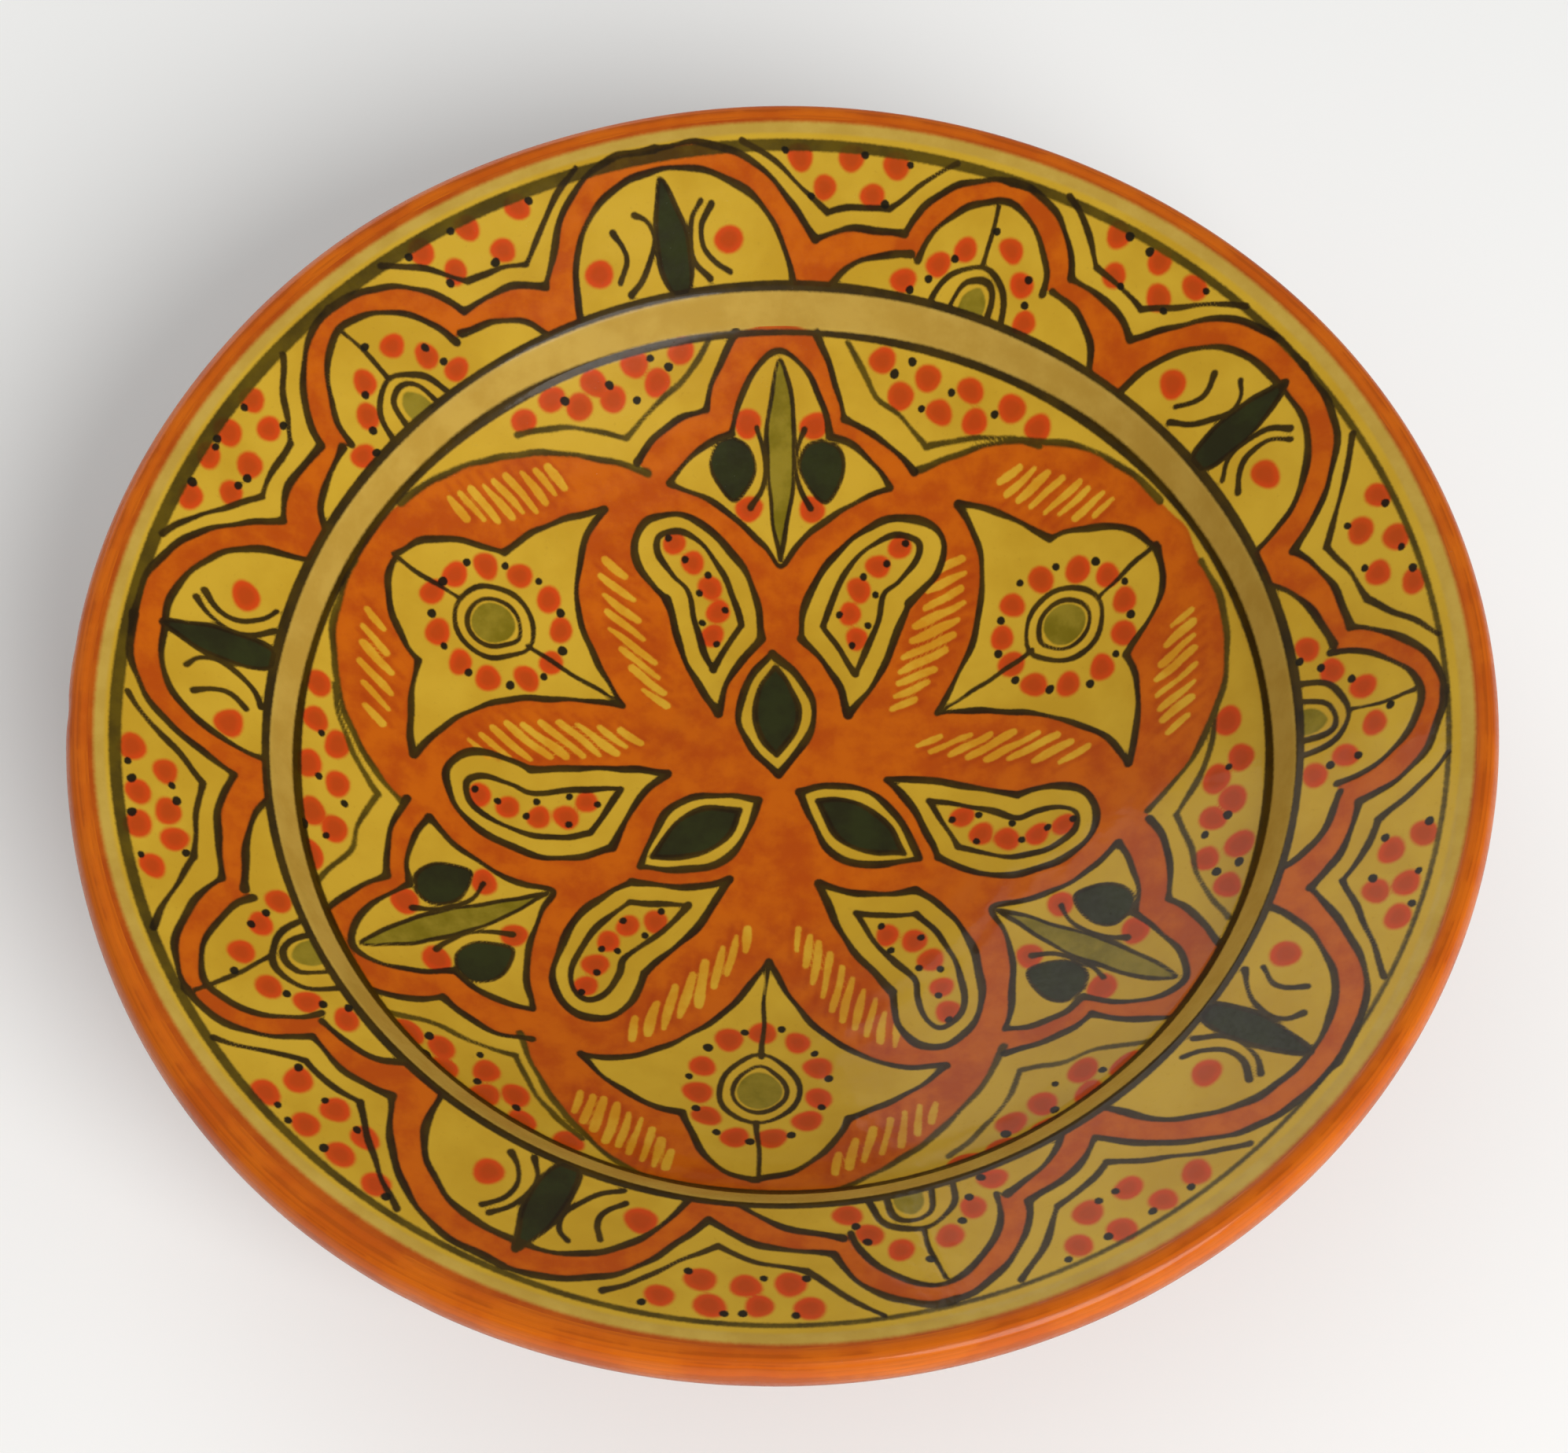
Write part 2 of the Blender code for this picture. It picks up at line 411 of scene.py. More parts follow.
class Canvas:
    """Distances in mm from a piece's vertices to the edge of every paint; inside is negative."""

    FIELDS = ("cream", "rim", "orange", "wash", "streak", "red", "olive", "leaf", "ring", "line",
              "black")

    def __init__(self, piece):
        self.piece = piece
        self.plain = coordinates(piece)[:, :2]
        self.plain /= oval(np.arctan2(self.plain[:, 1], self.plain[:, 0]))[:, None]
        self.xy = self.plain + hand_tremor(self.plain)
        self.fields = {name: np.full(len(self.xy), FAR) for name in self.FIELDS}

    def near(self, line, margin):
        """Indices of the vertices close to a line."""
        return inside_box(self.xy, line.min(0) - margin, line.max(0) + margin)

    def add(self, field, index, distance):
        values = self.fields[field]
        values[index] = np.minimum(values[index], distance)

    def stroke(self, field, line, width, ends=1.0):
        """A brush stroke; ends above 1 leave a drop at both ends, and below 1 thin them."""
        line = np.asarray(line, float)
        travel = travel_along(line)
        length = max(travel[-1], 0.1)
        phase = line[0, 0] + line[0, 1]
        press = 1.0 + 0.16 * np.sin(travel / 4.3 + phase) + 0.10 * np.sin(travel / 1.9 + 2 * phase)
        drop = np.exp(-(travel / 1.3) ** 2) + np.exp(-((length - travel) / 1.3) ** 2)
        half = 0.46 * width * (press + (ends - 1.0) * drop)
        index = self.near(line, width + 2.0)
        self.add(field, index, distance_to_line(self.xy[index], line, half))

    def line(self, points, width, ends=1.0, field="line"):
        """A stroke along the smooth curve through a few points."""
        self.stroke(field, curve(points), width, ends)

    def area(self, field, outline):
        """A filled shape."""
        outline = np.asarray(outline, float)
        index = self.near(outline, 3.0)
        self.add(field, index, distance_to_area(self.xy[index], outline))

    def dot(self, field, centre, size, squash=1.0):
        """A dab of the brush, a little uneven, and round on the sloping face rather than in plan."""
        centre = np.asarray(centre, float)
        slope = steepness(np.hypot(*centre))
        outward = centre / max(np.hypot(*centre), 1.0)
        turn = RANDOM.uniform(0, np.pi)
        index = self.near(centre[None], size + 2.0)
        away = self.xy[index] - centre
        away += (slope - 1.0) * np.outer(away @ outward, outward)
        along = away[:, 0] * math.cos(turn) + away[:, 1] * math.sin(turn)
        across = (away[:, 1] * math.cos(turn) - away[:, 0] * math.sin(turn)) / squash
        bearing = np.arctan2(across, along)
        uneven = 1.0 + 0.03 * np.sin(2 * bearing + turn) + 0.03 * np.sin(3 * bearing)
        radius = 0.5 * size * math.sqrt(slope) * uneven
        self.add(field, index, np.hypot(along, across) - radius)

    def finish(self):
        """Store the distances, and raise the brushed lines a little."""
        for name, values in self.fields.items():
            put(self.piece, name, values)
        raised = np.clip(0.5 - self.fields["line"] / 0.8, 0.0, 1.0)
        raised += 0.6 * np.clip(0.5 - self.fields["black"], 0, 1)
        points = coordinates(self.piece)
        points[:, 2] += LINE_RELIEF * raised
        move(self.piece, points)


def jitter(amount):
    """A small random shift in the plan."""
    return RANDOM.normal(0, amount, 2)


def hand_tremor(xy):
    """Small smooth shifts that make every stroke a little unsteady."""
    x, y = xy[:, 0], xy[:, 1]
    return np.column_stack([
        0.16 * np.sin(y / 3.1 + x / 7.3) + 0.10 * np.sin(y / 1.7 - x / 2.9 + 1.0),
        0.16 * np.sin(x / 3.4 - y / 6.1 + 2.0) + 0.10 * np.sin(x / 1.5 + y / 3.3),
    ])


def distance_to_line(points, line, half):
    """Distance to a line with a half-width at each of its points; FAR at most."""
    result = np.full(len(points), FAR)
    for start in range(0, len(line) - 1, SPAN):
        part = line[start:start + SPAN + 1]
        width = half[start:start + SPAN + 1]
        margin = MARGIN + width.max()
        near = inside_box(points, part.min(0) - margin, part.max(0) + margin)
        along = np.diff(part, axis=0)
        away = points[near][:, None] - part[:-1]
        share = np.clip((away * along).sum(2) / np.maximum((along ** 2).sum(1), 1e-9), 0.0, 1.0)
        gap = away - share[..., None] * along
        gap = np.hypot(gap[..., 0], gap[..., 1]) - width[:-1] - share * np.diff(width)
        result[near] = np.minimum(result[near], gap.min(axis=1))
    return result


def distance_to_area(points, outline):
    """Distance to a closed outline, negative inside it."""
    closed = np.vstack([outline, outline[:1]])
    distance = distance_to_line(points, closed, np.zeros(len(closed)))
    inside = np.zeros(len(points), bool)
    x, y = points.T
    for (x0, y0), (x1, y1) in zip(closed, closed[1:]):
        if y0 != y1:
            crosses = ((y0 > y) != (y1 > y)) & (x < x0 + (y - y0) * (x1 - x0) / (y1 - y0))
            inside ^= crosses
    return np.where(inside, -distance, distance)


def symmetric(half):
    """A left-to-right line from its right half, which starts on the middle line."""
    return mirrored(half)[:0:-1] + half


# ------------ painting of the flange

# Five sectors, each painted freehand around its own lobe. Angles are clockwise degrees from
# the sector's middle: the lobe's leaf, the valleys and cusps on both sides and the trefoil
# on its right; then the radii of the valleys, the cusps and the lobe's top.
FIRST_SECTOR = 102.8
SECTORS = (
    dict(leaf=1.5, valleys=(-13.3, 17.3), cusps=(-22.7, 26.8), trefoil=36.0,
         valley_r=(120.7, 120.8), cusp_r=(123.9, 124.0), top=139.0,
         upper=((-23.3, -18.2, -12.8), (15.4, 20.4, 24.8)), lower=((-21.3, -15.9), (17.9, 22.9))),
    dict(leaf=-1.7, valleys=(-17.3, 14.0), cusps=(-26.5, 24.8), trefoil=33.7,
         valley_r=(121.5, 118.8), cusp_r=(126.0, 124.0), top=136.0,
         upper=((-24.3, -19.4, -15.1), (13.1, 17.8, 22.5)), lower=((-22.7, -17.5), (15.4, 20.4))),
    dict(leaf=-1.1, valleys=(-17.8, 17.5), cusps=(-27.7, 26.5), trefoil=36.5,
         valley_r=(118.5, 117.0), cusp_r=(124.0, 122.8), top=137.0,
         upper=((-24.2, -19.2, -15.8), (13.6, 17.3, 21.5, 25.2)), lower=((-22.5, -18.2), (18.7, 22.8))),
    dict(leaf=-0.3, valleys=(-15.3, 18.3), cusps=(-27.0, 27.7), trefoil=36.2,
         valley_r=(116.5, 119.5), cusp_r=(124.3, 123.0), top=135.0,
         upper=((-24.7, -20.6, -16.7, -12.6), (12.4, 16.4, 20.4, 24.6)),
         lower=((-23.2, -19.5, -15.6), (16.3, 20.0, 24.3))),
    dict(leaf=1.5, valleys=(-13.2, 17.5), cusps=(-25.3, 27.2), trefoil=38.0,
         valley_r=(118.0, 119.8), cusp_r=(124.0, 121.8), top=135.7,
         upper=((-23.4, -19.3, -16.1, -11.6), (14.6, 19.1, 22.1, 26.2)),
         lower=((-20.8, -17.9, -13.8), (17.1, 20.7, 25.0))),
)

# A regular sector's trefoil, cusps and valleys lie this many degrees from its middle, and its
# cusps, valleys and the lobe's top at these radii
TREFOIL_AT, CUSP_AT, VALLEY_AT = 36.0, 26.2, 15.6
CUSP_R, VALLEY_R, TOP_R = 124.0, 119.3, 136.8

# The right half of a regular sector, as (clockwise degrees, radius)
BAND = (
    [(0, 140.3), (4, 139.6), (8, 136.3), (11, 131), (13.5, 124.8), (15.6, 119.3)],
    [(15.6, 119.3), (18, 121.5), (21, 123.2), (26.2, 124)],
    [(26.2, 124), (27, 127.3), (28.5, 131.5), (31, 136), (34, 138.7), (36, 139.2)],
)
ARCH = [(0, 134.6), (3, 134.2), (6, 132.2), (9, 127.6), (11, 122.6), (12.3, 117.3), (13.3, 111)]
SHOULDER = [(17.5, 111), (20, 115.5), (23.5, 118.5), (27.5, 120.2)]
TREFOIL = [(28.4, 119.3), (29, 123.6), (30.5, 128.2), (32.5, 132.2), (34.5, 134.4), (36, 135.1)]
FIELD_EDGE = (
    [(8.2, 139.4), (10.5, 136), (13.5, 130.4), (16.8, 125.1)],
    [(16.8, 125.1), (20, 127), (24, 128.3)],
    [(24, 128.3), (26, 132), (28, 136.2), (30.2, 139.8)],
)
LEAF = [(0, 110.5), (0.9, 112), (1.5, 115), (1.8, 120), (1.6, 125), (1.0, 130), (0, 135.5)]
GRASS = (
    [(3.5, 129.5), (2.3, 127.5), (1.9, 124), (2.8, 119.8), (4.2, 116.3), (6, 113.8)],
    [(6, 127), (5.3, 123.5), (5.4, 120.5), (6.8, 117)],
    [(-3.8, 130.3), (-2.5, 127), (-1.9, 122.5), (-2.1, 118), (-3.6, 114)],
    [(-4.8, 129.3), (-3.4, 125.5), (-3.3, 121), (-4.3, 117.6), (-6.0, 115.2)],
)

# How much further in the leaf and the grass of each lobe lie
LOBE_INWARD = (0.5, 0.3, 0.5, 0.7, 1.3)
LOBE_DOTS = ((8.8, 120.0), (-6.2, 121.7))
BUD_OUTER = [(4.7, 110.5), (3.8, 116.5), (2, 119.8), (0, 121.3), (-2, 120), (-3.6, 117), (-4.7, 110.5)]
BUD_INNER = [(2.4, 110.5), (1.5, 116.5), (0.5, 118.3), (-0.7, 118.8), (-1.8, 118), (-2.5, 115.5),
             (-2.7, 110.5)]
BUD_EYE = [(1.1, 110.5), (0.9, 115), (-0.5, 117.3), (-1.9, 115), (-2.1, 110.5)]

# The stem of a trefoil, which reaches past the crown in one of them
BUD_STEM = [(0.4, 134), (0, 128), (0, 121.5)]
LONG_STEM = [(0.3, 138), (0, 130), (-1.2, 121)]
LONG_STEM_SECTOR = 3
BUD_DOTS = ((2.2, 124.2), (-2.4, 126), (-4.8, 120.2), (5.0, 119), (8.4, 114.6), (-7.0, 115))
BUD_SPECKS = ((3.3, 122), (-0.5, 129), (-5.4, 122), (5.6, 116.8), (7.2, 113.2), (-6.2, 117.8))


def polar(angle, points):
    """Plan points from (anticlockwise degrees, radius) points about a plan angle."""
    points = np.asarray(points, float).reshape(-1, 2)
    turn = np.radians(angle + points[:, 0])
    return np.column_stack([points[:, 1] * np.cos(turn), points[:, 1] * np.sin(turn)])


def sector_angle(k):
    return FIRST_SECTOR - 72.0 * (k % 5)


def trefoil_angle(k):
    return sector_angle(k) - SECTORS[k % 5]["trefoil"]


def in_sector(k, points):
    """Plan points from the regular sector's points, stretched as sector k was painted."""
    sector = SECTORS[k]
    points = np.asarray(points, float).reshape(-1, 2)
    left_trefoil = wrapped(sector_angle(k) - trefoil_angle(k - 1))
    cusps, valleys, cusp_r, valley_r = (
        sector[name] for name in ("cusps", "valleys", "cusp_r", "valley_r"))
    regular = [-TREFOIL_AT, -CUSP_AT, -VALLEY_AT, 0, VALLEY_AT, CUSP_AT, TREFOIL_AT]
    painted = [left_trefoil, cusps[0], valleys[0], sector["leaf"], valleys[1], cusps[1],
               sector["trefoil"]]
    shift = [0, cusp_r[0] - CUSP_R, valley_r[0] - VALLEY_R, sector["top"] - TOP_R,
             valley_r[1] - VALLEY_R, cusp_r[1] - CUSP_R, 0]
    angle = np.interp(points[:, 0], regular, painted)
    fade = np.clip((points[:, 1] - 111.5) / 6.0, 0, 1) * np.clip((144.5 - points[:, 1]) / 6.0, 0, 1)
    radius = points[:, 1] + fade * np.interp(points[:, 0], regular, shift)
    return polar(sector_angle(k), np.column_stack([-angle, np.minimum(radius, 141.2)]))


def paint_band(canvas):
    """The orange band that runs in lobes around the flange, and its dark outlines."""
    outer = []
    for k in range(5):
        left = [in_sector(k, mirrored(part)[::-1]) for part in BAND[::-1]]
        right = [in_sector(k, part) for part in BAND]
        for part in left + right:
            outer.append(curve(part, 1.5))
            canvas.line(part, 1.6, 1.25)
        arch = in_sector(k, symmetric(ARCH))
        canvas.area("yellow", curve(arch, 1.5))
        canvas.line(arch, 1.6, 1.25)
        after = (k + 1) % 5
        canvas.area("yellow", joined(
            in_sector(k, SHOULDER), in_sector(k, TREFOIL),
            in_sector(after, mirrored(TREFOIL)[::-1]), in_sector(after, mirrored(SHOULDER)[::-1]),
        )[::2])
        crown = [in_sector(k, TREFOIL), in_sector(after, mirrored(TREFOIL)[-2::-1])]
        canvas.line(np.vstack(crown), 1.55, 1.25)
        canvas.line(in_sector(k, SHOULDER), 1.6, 1.3)
        canvas.line(in_sector(after, mirrored(SHOULDER)), 1.6, 1.3)
    canvas.area("orange", np.vstack(outer))
    canvas.fields["orange"] = np.maximum(canvas.fields["orange"], -canvas.fields["yellow"])


def paint_lobe(canvas, k):
    """The long leaf, blades of grass and two dabs inside a lobe."""
    middle = sector_angle(k) - SECTORS[k]["leaf"]
    inward = LOBE_INWARD[k]

    def placed(points):
        return polar(middle, [(angle, radius - inward * min(1.0, (radius - ROOT_R) / 5.0))
                              for angle, radius in points])

    outline = curve(placed(LEAF + mirrored(LEAF)[-2:0:-1] + LEAF[:1]))
    canvas.area("leaf", outline)
    canvas.stroke("line", outline, 1.3)
    for blade in GRASS:
        canvas.line(placed(blade), 1.35, 1.25)
    for spot in LOBE_DOTS:
        canvas.dot("red", placed([spot])[0], 6.5, 0.95)


def paint_trefoil(canvas, k):
    """The half flower, its stem and dabs between two lobes."""
    middle = trefoil_angle(k)
    stem = LONG_STEM if k == LONG_STEM_SECTOR else BUD_STEM
    canvas.line(polar(middle, stem), 1.1, 1.3)
    canvas.line(polar(middle, BUD_OUTER), 1.5)
    canvas.line(polar(middle, BUD_INNER), 1.5)
    canvas.area("olive", curve(polar(middle, BUD_EYE)))
    for spot in BUD_DOTS:
        canvas.dot("red", polar(middle, spot)[0] + jitter(0.4), 5.7, 0.92)
    for spot in BUD_SPECKS:
        canvas.dot("black", polar(middle, spot)[0] + jitter(0.4), 1.9)


def paint_field(canvas, k, side):
    """The dotted field between two lobes, one side of a sector."""
    sector = SECTORS[k]
    for part in FIELD_EDGE:
        edge = part if side else mirrored(part)
        canvas.line(in_sector(k, edge), 1.4, 1.15)
    rows = ((sector["upper"][side], 137.2, 0.9), (sector["lower"][side], 130.9, -1.3))
    for angles, radius, outward in rows:
        for angle in angles:
            spot = polar(sector_angle(k), (-angle, radius + RANDOM.normal(0, 0.5)))[0]
            canvas.dot("red", spot, RANDOM.uniform(5.5, 6.2), 0.95)
            speck = polar(sector_angle(k), (-angle - RANDOM.choice([-1.3, 1.2]), radius + outward))[0]
            canvas.dot("black", speck + jitter(0.3), RANDOM.uniform(1.6, 2.2))


def paint_rings(canvas):
    """The olive ring, the cream band, the orange lip and the dark lines of the ledge."""
    x, y = canvas.plain.T
    radius, bearing = np.hypot(x, y), np.arctan2(y, x)
    thickness = 1.0 + 1.9 * (0.5 + 0.5 * np.cos(bearing - math.radians(135.0))) ** 1.3
    around = np.hypot(x + 0.5, y)
    canvas.add("ring", slice(None), np.abs(around - 141.0 + thickness / 2) - thickness / 2)
    ledge_line = 106.2 - 1.2 * bulge(bearing, 85.0, 38.0)
    on_ledge = np.maximum(ledge_line - radius, radius - LEDGE_LINE_R)
    canvas.fields["cream"] = np.minimum(CREAM_R - radius, on_ledge)
    canvas.fields["rim"] = ORANGE_R - np.hypot(x - ORANGE_SHIFT, y)
    waver = 0.10 * np.sin(5 * bearing) + 0.06 * np.sin(13 * bearing + 1.0)
    outer = np.abs(radius - LEDGE_LINE_R) - 0.9 - waver
    inner = np.abs(radius - ledge_line) - 0.75 + waver
    canvas.add("line", slice(None), np.minimum(outer, inner))


def paint_flange(piece):
    canvas = Canvas(piece)
    canvas.fields["yellow"] = np.full(len(canvas.xy), FAR)
    paint_band(canvas)
    canvas.fields.pop("yellow")
    for k in range(5):
        paint_lobe(canvas, k)
        paint_trefoil(canvas, k)
        paint_field(canvas, k, 0)
        paint_field(canvas, k, 1)
    paint_rings(canvas)
    canvas.finish()


def paint_rings_only(piece):
    canvas = Canvas(piece)
    paint_rings(canvas)
    canvas.finish()


# ------------ painting of the well

# Three arches and three shields take turns around a middle that lies a little off the axis.
# Points are (to the right, outward) in millimetres, seen with the motif pointing up.
WELL_MIDDLE = (-1.78, -1.98)
FIRST_ARCH = 87.9
FIRST_SHIELD = 27.9
ARCH_LEAN = (-1.0, 4.5, -0.5)
SHIELD_LEAN = (-1.5, 2.5, -2.0)
OUTWARD_SCALE = (1.0, 1.0, 0.985)

CROWN_LEFT = ([(-33.5, 78), (-29.5, 84), (-23.5, 88.5), (-17.3, 91)],
              [(-17.3, 91), (-16.5, 96), (-14, 101), (-10.5, 106.8)])
CROWN_RIGHT = ([(8.5, 106.8), (11.5, 101), (13.5, 95), (14.8, 89.5)],
               [(14.8, 89.5), (20.5, 87), (26, 83), (31.5, 77.5)])
CROWN_TOP = [(-10.5, 106.8), (-1, 108.5), (8.5, 106.8)]
HOOD = [(11.5, 86.5), (9.8, 92.5), (7, 98.5), (3.5, 102), (0, 103.3)]
WING = [(26, 74.5), (22.5, 79.5), (17, 84), (11.5, 86)]
SKIRT = [(26, 74.5), (18, 72), (10, 67.5), (4, 62), (0, 57)]
LONG_LEAF = [(0, 58.5), (1.8, 68), (3.0, 78), (3.2, 84), (2.6, 93), (0, 101.5)]
DROP = [(0, 85.2), (3.8, 83.6), (5.2, 79.6), (4, 75.5), (0.6, 71.8), (-3.6, 75.5), (-5.2, 79.8),
        (-3.6, 83.8)]
CURL = [(5.5, 87.5), (4.2, 84), (3.6, 79), (4.5, 74.5), (7, 70.5)]
OUTER_FIELD = ([(-17, 105), (-20, 100), (-24, 95), (-30, 90), (-36.3, 83)],
               [(-36.3, 83), (-45, 83.6), (-54, 82), (-61.5, 79.5)],
               [(15.5, 105), (19, 100), (22.5, 94), (28, 90), (34, 82.7)],
               [(34, 82.7), (43, 83.7), (53, 82.5), (60.5, 80)])
FIELD_DOTS = ((24, 101.5), (34, 98), (44, 93.6), (53.5, 88.5), (28.8, 94.8), (38.5, 90.2),
              (46.5, 87), (60.5, 83.5))
FIELD_SPECKS = ((26.5, 98), (40, 93.2), (33.5, 91), (50, 88.2), (30.5, 100.5))

PAISLEY = (
    [(16, 20), (14, 27), (10.5, 33), (5, 39.8)],
    [(5, 39.8), (5.5, 46.5), (8.3, 54), (13.5, 60.5), (20.5, 65.8), (28, 67.8), (35, 66), (38.2, 61),
     (37, 55), (33.5, 51), (30, 48)],
    [(30, 48), (28, 43), (25, 34.5), (21, 27), (16, 20)],
)
PAISLEY_INNER = (
    [(17.3, 31), (14, 37), (10.2, 42.6)],
    [(10.2, 42.6), (12, 49), (15.5, 55.8), (20.8, 61.3), (27, 64), (32, 62.5), (31.8, 58), (28, 53.5),
     (24.3, 50.5), (22.7, 44), (20.3, 37), (17.3, 31)],
)
PAISLEY_DOTS = ((28, 61.3), (23, 57), (18.3, 51.5), (16.3, 45.8), (18, 39.8))
PAISLEY_SPECKS = ((29.5, 62.3), (25.3, 57.8), (19.5, 54.2), (22, 50.5), (14.5, 46), (20.6, 43), (16.5, 38))

ALMOND = ([(-2, 36), (3.5, 30.5), (7.4, 24.5), (7.8, 18), (4.5, 11), (0, 4.5)],
          [(0, 4.5), (-5.5, 10), (-9.2, 17), (-9, 23.5), (-6, 30.5), (-2, 36)])
KERNEL = ([(-1, 32.5), (2.6, 27), (4.4, 21.5), (3.4, 15.5), (-0.5, 9.5)],
          [(-0.5, 9.5), (-4.3, 14), (-5.7, 19.5), (-4.6, 26.5), (-1, 32.5)])

SHIELD = (
    [(0.5, 42), (-5, 51), (-12, 59.5), (-21, 66.5), (-30, 70), (-39, 70.5)],
    [(-39, 70.5), (-33.5, 76), (-27, 80), (-19, 83.7)],
    [(-19, 83.7), (-17.5, 88), (-13.5, 94), (-7.5, 98.7), (-0.7, 100.7)],
    [(-0.7, 100.7), (5.5, 98.5), (11, 92.8), (15.3, 83.3)],
    [(15.3, 83.3), (23, 81.3), (31, 76.5), (38, 69.5)],
    [(38, 69.5), (30, 69.5), (21.5, 65.8), (13, 59), (6, 51), (0.5, 42)],
)
SHOULDER_ARC = [(51, 66.5), (47, 75), (41, 83.5), (33.5, 91.5), (25, 98.5), (16, 103.5), (9, 106)]

# How far the shoulder arcs swell out, as a share at each of their points and in millimetres
# for each shield, and how far each shield's waist is pushed outward
ARC_SWELL = (0.0, 0.5, 0.9, 1.0, 0.8, 0.4, 0.0)
ARC_GROWTH = (4.5, 0.6, 2.6)
WAIST = (0.3, 0.9, 2.6)

# Dabs in a flower's wreath, and the degrees that the first and the last keep from its top
WREATH_DABS = 11
WREATH_GAP = 16

STRIP_SPACING = 2.7

# Middle lines of the hatched strips inside and outside a shield. All strips go a little to the
# left on their way inward, and the upper ones also turn towards the plate's up-down line.
LOWER_HATCH = [(29.5, 63), (23, 57.5), (18, 52.5), (13, 46.5), (8.5, 40.5), (4.5, 35)]
UPPER_HATCH = [(38.5, 82), (32, 86), (26, 89.5), (20.5, 93.5), (15.5, 97.5)]
STRIP_LEAN = -0.1
LOWER_TURN, LOWER_LENGTH = 0.0, 12.0
UPPER_TURN, UPPER_LENGTH = 0.15, 9.5


def shoulder_arc(k, side):
    """The arc over one side of shield k, which swells further out around the upper shields."""
    grown = []
    for (x, y), swell in zip(SHOULDER_ARC, ARC_SWELL):
        grown.append((side * (x + 0.5 * ARC_GROWTH[k] * swell), y + 0.85 * ARC_GROWTH[k] * swell))
    return grown


def strip_lean(k, share):
    """How far the strips of shield k lean to the right on their way to the plate's middle."""
    from_upright = (FIRST_SHIELD - 120.0 * k) % 180.0 - 90.0
    return STRIP_LEAN - math.tan(math.radians(share * from_upright))


def well_frame(first, lean, k):
    """The placing of a motif: how its own points lie in the plan."""
    turn = math.radians(first - 120.0 * k)

    def place(points):
        points = np.asarray(points, float).reshape(-1, 2)
        right = points[:, 0] + lean[k] * (points[:, 1] - 40.0) / 60.0
        out = points[:, 1] * OUTWARD_SCALE[k]
        return np.column_stack([
            WELL_MIDDLE[0] + out * math.cos(turn) + right * math.sin(turn),
            WELL_MIDDLE[1] + out * math.sin(turn) - right * math.cos(turn),
        ])

    return place


def paint_arch(canvas, place):
    """The arch with its long leaf, two drops, curls and dabs."""
    hood = symmetric(HOOD[::-1])
    outline = (mirrored(WING), hood, WING[::-1], SKIRT, mirrored(SKIRT)[::-1])
    canvas.area("yellow", joined(*[place(part) for part in outline])[::2])
    for part in (hood, WING, mirrored(WING), symmetric(SKIRT[::-1])):
        canvas.line(place(part), 1.55, 1.25)
    leaf = curve(place(LONG_LEAF + mirrored(LONG_LEAF)[-2::-1]))
    canvas.area("olive", leaf)
    canvas.stroke("line", leaf, 1.15)
    for x in (-11.4, 9.8):
        drop = curve(place([(x + px, py) for px, py in DROP + DROP[:1]]))
        canvas.area("leaf", drop)
        canvas.stroke("line", drop, 0.9)
    for side in (1, -1):
        canvas.line(place(flipped(CURL, side)), 1.3, 1.3)
        canvas.dot("red", place((side * 7.8, 88.3))[0], 6.6, 0.95)
        canvas.dot("red", place((side * 7.3, 70.2))[0], 6.2, 0.95)


def paint_well_field(canvas, place):
    """The dotted fields on both sides of an arch, up to the ledge."""
    for part in CROWN_LEFT + CROWN_RIGHT:
        canvas.line(place(part), 1.6, 1.25)
    for part in OUTER_FIELD:
        canvas.line(place(part), 1.35, 1.1, "ring")
    for side in (1, -1):
        for x, y in FIELD_DOTS:
            spot = place((side * x, y))[0] + jitter(0.6)
            canvas.dot("red", spot, RANDOM.uniform(5.8, 6.6), 0.95)
        for x, y in FIELD_SPECKS:
            speck = place((side * x, y))[0] + jitter(0.4)
            canvas.dot("black", speck, RANDOM.uniform(1.6, 2.2))


def paint_paisleys(canvas, place):
    """The two drops filled with dabs below an arch; the left one is a little narrower."""
    for side in (1.0, -0.89):
        outer = [place(flipped(part, side)) for part in PAISLEY]
        canvas.area("yellow", joined(*outer)[::2])
        for part in outer:
            canvas.line(part, 1.9, 1.15)
        for part in PAISLEY_INNER:
            canvas.line(place(flipped(part, side)), 1.6, 1.1)
        for spot in place(flipped(PAISLEY_DOTS, side)):
            canvas.dot("red", spot, RANDOM.uniform(5.6, 6.2), 0.93)
        for spot in place(flipped(PAISLEY_SPECKS, side)):
            canvas.dot("black", spot + jitter(0.3), 1.8)


def paint_almond(canvas, place):
    """The pointed oval next to the middle, with its dark kernel."""
    canvas.area("yellow", joined(*[place(part) for part in ALMOND])[::2])
    canvas.area("leaf", joined(*[place(part) for part in KERNEL]))
    for part in ALMOND:
        canvas.line(place(part), 1.9, 1.1)
    for part in KERNEL:
        canvas.line(place(part), 1.5)


def paint_shield(canvas, place, k):
    """The shield with its flower, the orange arcs around it and their hatching."""
    parts = []
    for part in SHIELD:
        parts.append([(x, y + WAIST[k] * math.exp(-((y - 59) / 11) ** 2)) for x, y in part])
    canvas.area("yellow", joined(*[place(part) for part in parts])[::2])
    for part in parts:
        canvas.line(place(part), 1.6, 1.2)
    for side in (1, -1):
        canvas.line(place(shoulder_arc(k, side)), 1.5, 1.2, "ring")
        for row, share, length in ((LOWER_HATCH, LOWER_TURN, LOWER_LENGTH),
                                   (UPPER_HATCH, UPPER_TURN, UPPER_LENGTH)):
            paint_hatching(canvas, place, flipped(row, side), strip_lean(k, share), length)
    paint_flower(canvas, place)


